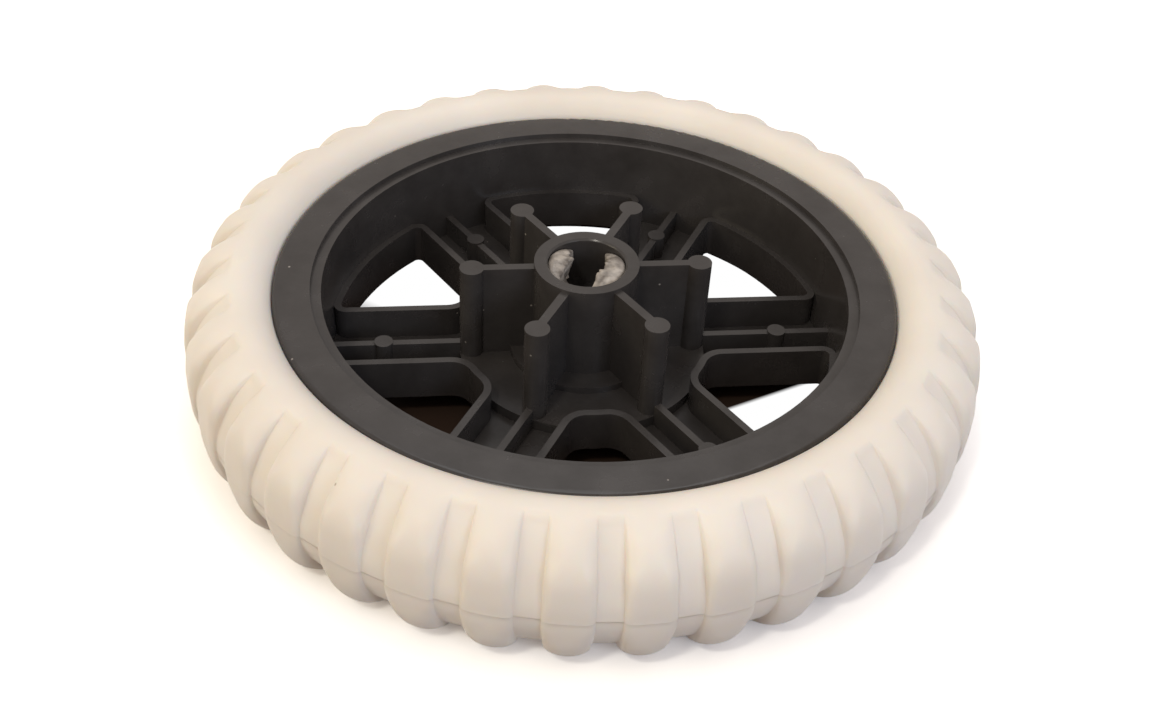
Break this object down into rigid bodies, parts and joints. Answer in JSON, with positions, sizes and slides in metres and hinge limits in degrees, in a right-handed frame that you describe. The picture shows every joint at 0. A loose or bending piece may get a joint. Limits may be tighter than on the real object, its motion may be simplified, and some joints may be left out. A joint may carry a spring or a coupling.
{
  "type": "trolley wheel",
  "caption": "Plastic wheel with a ribbed spoked rim, a stepped hub bore and a lugged foam tyre snapped between its flanges, for a trolley or cart axle.",
  "frame": {"origin": "on the bore axis, at the mid plane of the tyre", "axes": "+Z along the bore axis towards the ribbed side and the mouth of the bush seat, +X along one spoke"},
  "size_m": [0.16, 0.16, 0.0317],
  "materials": {
    "rim_plastic": "satin injection-moulded black polypropylene",
    "tyre_foam": "cream moulded foam with a smooth satin skin"
  },
  "bodies": {
    "root": {"rim": "rim_plastic", "tyre": "tyre_foam"}
  },
  "joints": []
}
